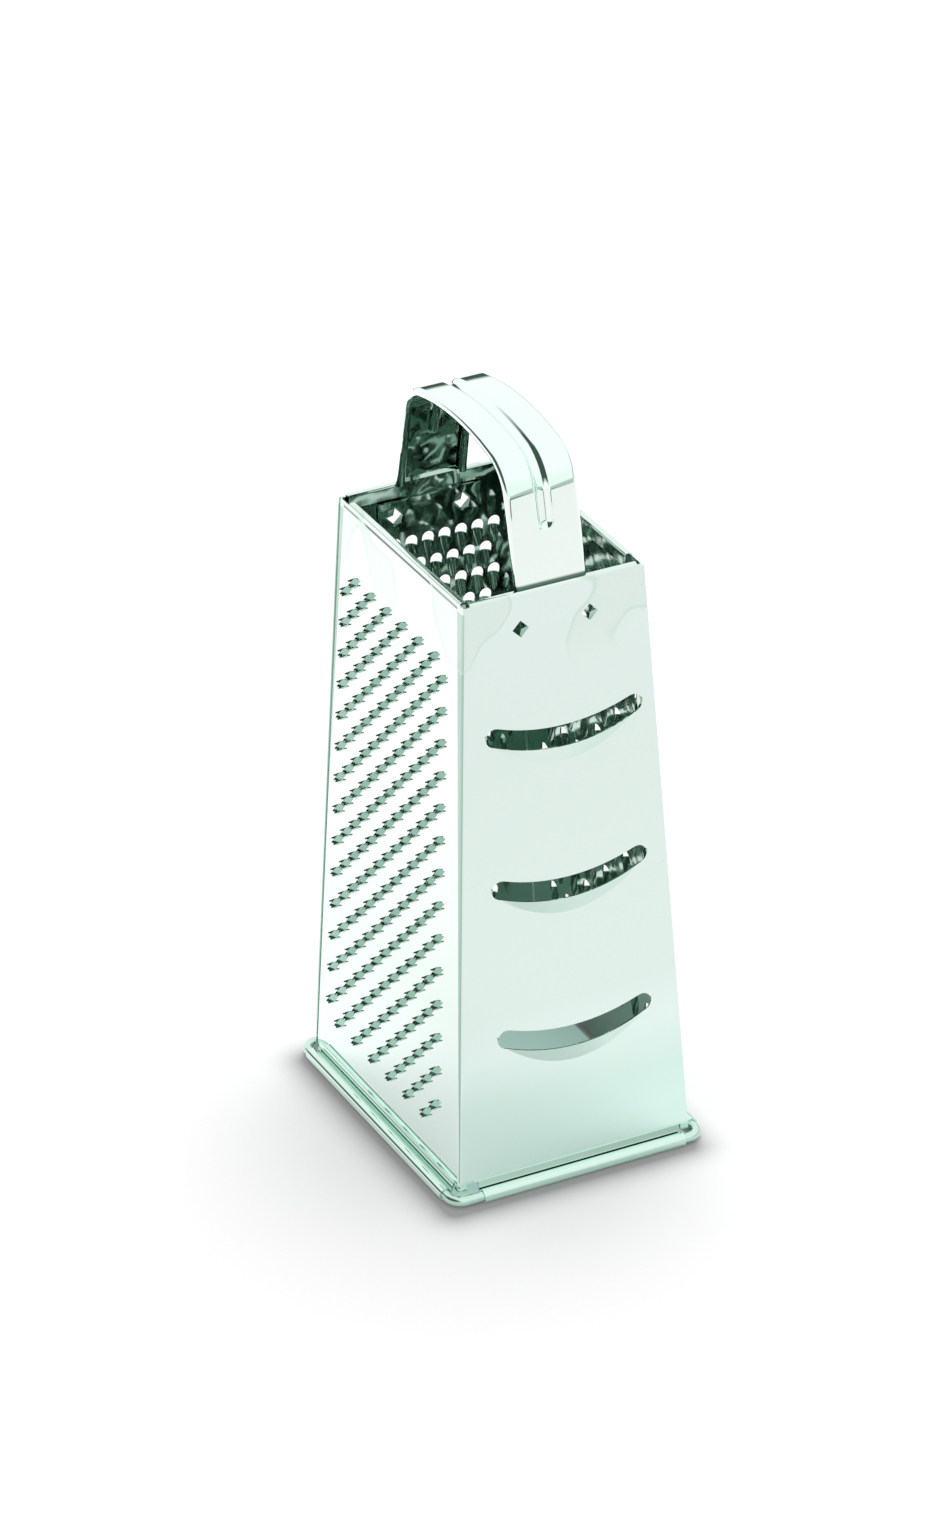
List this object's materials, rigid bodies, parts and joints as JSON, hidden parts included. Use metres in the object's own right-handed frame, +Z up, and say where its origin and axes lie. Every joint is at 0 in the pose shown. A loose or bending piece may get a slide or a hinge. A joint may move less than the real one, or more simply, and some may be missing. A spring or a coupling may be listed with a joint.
{
  "type": "box grater",
  "caption": "Four-sided sheet-steel kitchen grater with slicing, fine rasp, medium and coarse shredding sides, a wired base and a strap handle.",
  "frame": {"origin": "middle of the base, on the surface that the grater stands on", "axes": "+Z up to the handle; -Y out of the slicing side, -X out of the fine rasp, +Y out of the medium shredder, +X out of the coarse shredder"},
  "size_m": [0.0878, 0.1088, 0.2364],
  "materials": {
    "body_sheet": "polished stainless sheet",
    "handle_strap": "polished stainless strap",
    "wire": "bright drawn wire"
  },
  "bodies": {
    "root": {"front_shell": "body_sheet", "rear_shell": "body_sheet", "handle": "handle_strap", "base_wire": "wire"}
  },
  "joints": []
}
